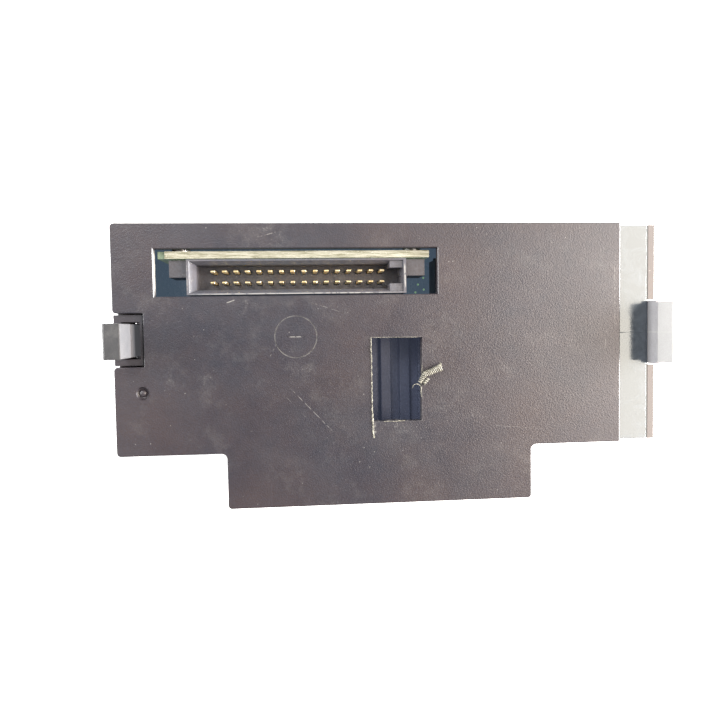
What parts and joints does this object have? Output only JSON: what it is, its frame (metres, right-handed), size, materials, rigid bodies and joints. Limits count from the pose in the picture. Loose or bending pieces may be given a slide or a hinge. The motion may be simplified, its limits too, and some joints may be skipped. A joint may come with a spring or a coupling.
{
  "type": "plug-in controller module",
  "caption": "Latching controller module in a T-shaped black case, with a shrouded two-row bus header, a rear window and two spring latches.",
  "frame": {"origin": "centre of the bounding box at the front face, on which the module lies", "axes": "+X along the body from the narrow latch to the wide latch, +Y away from the tab, +Z from the front face to the rear face"},
  "size_m": [0.1252, 0.0638, 0.034],
  "materials": {
    "casing": "fine spark-eroded texture",
    "end_panel": "smooth, mirror-like",
    "latch": "smooth moulded",
    "header": "smooth moulded",
    "guard": "smooth moulded, ribbed",
    "contact": "gold flash",
    "link_board": "sawn glass-fibre edge",
    "main_board": "solder mask",
    "chip": "moulded epoxy",
    "steel": "zinc plated",
    "capacitor": "satin can",
    "converter": "potted case",
    "fuse": "ceramic",
    "lamp": "diffusing",
    "lamp_window": "clear",
    "port_shell": "nickel plated",
    "port_insert": "smooth moulded",
    "label": "blank printed film"
  },
  "bodies": {
    "case": {"rear_cover": "casing", "front_housing": "casing", "end_panel": "end_panel", "bus_shroud": "header", "connector_board": "link_board", "main_board": "main_board", "card_edge_socket": "header", "board_guard": "guard", "header_screw_left": "steel", "header_screw_right": "steel", "board_screw_left": "steel", "board_screw_right": "steel", "processor_chip": "chip", "memory_chip": "chip", "bus_chip": "chip", "optocoupler": "chip", "clock_crystal": "steel", "storage_capacitor": "capacitor", "isolating_converter": "converter", "fuse": "fuse", "led_block": "lamp", "led_window": "lamp_window", "port_shell": "port_shell", "port_insert": "port_insert", "front_label": "label", "bus_pin_a01": "contact", "bus_pin_a02": "contact", "bus_pin_a03": "contact", "bus_pin_a04": "contact", "bus_pin_a05": "contact", "bus_pin_a06": "contact", "bus_pin_a07": "contact", "bus_pin_a08": "contact", "bus_pin_a09": "contact", "bus_pin_a10": "contact", "bus_pin_a11": "contact", "bus_pin_a12": "contact", "bus_pin_a13": "contact", "bus_pin_a14": "contact", "bus_pin_a15": "contact", "bus_pin_a16": "contact", "bus_pin_b01": "contact", "bus_pin_b02": "contact", "bus_pin_b03": "contact", "bus_pin_b04": "contact", "bus_pin_b05": "contact", "bus_pin_b06": "contact", "bus_pin_b07": "contact", "bus_pin_b08": "contact", "bus_pin_b09": "contact", "bus_pin_b10": "contact", "bus_pin_b11": "contact", "bus_pin_b12": "contact", "bus_pin_b13": "contact", "bus_pin_b14": "contact", "bus_pin_b15": "contact", "bus_pin_b16": "contact"},
    "left_latch": {"left_latch": "latch"},
    "right_latch": {"right_latch": "latch"}
  },
  "joints": [
    {"name": "left_latch_flex", "type": "hinge", "parent": "case", "child": "left_latch", "pos_m": [-0.05979, 0.00628, 0.0055], "axis": [0, 1, 0], "range_deg": [0, 4.5], "stiffness_Nm_per_rad": 0.6},
    {"name": "right_latch_flex", "type": "hinge", "parent": "case", "child": "right_latch", "pos_m": [0.0618, 0.00628, 0.0055], "axis": [0, 1, 0], "range_deg": [0, 5], "stiffness_Nm_per_rad": 0.6}
  ]
}
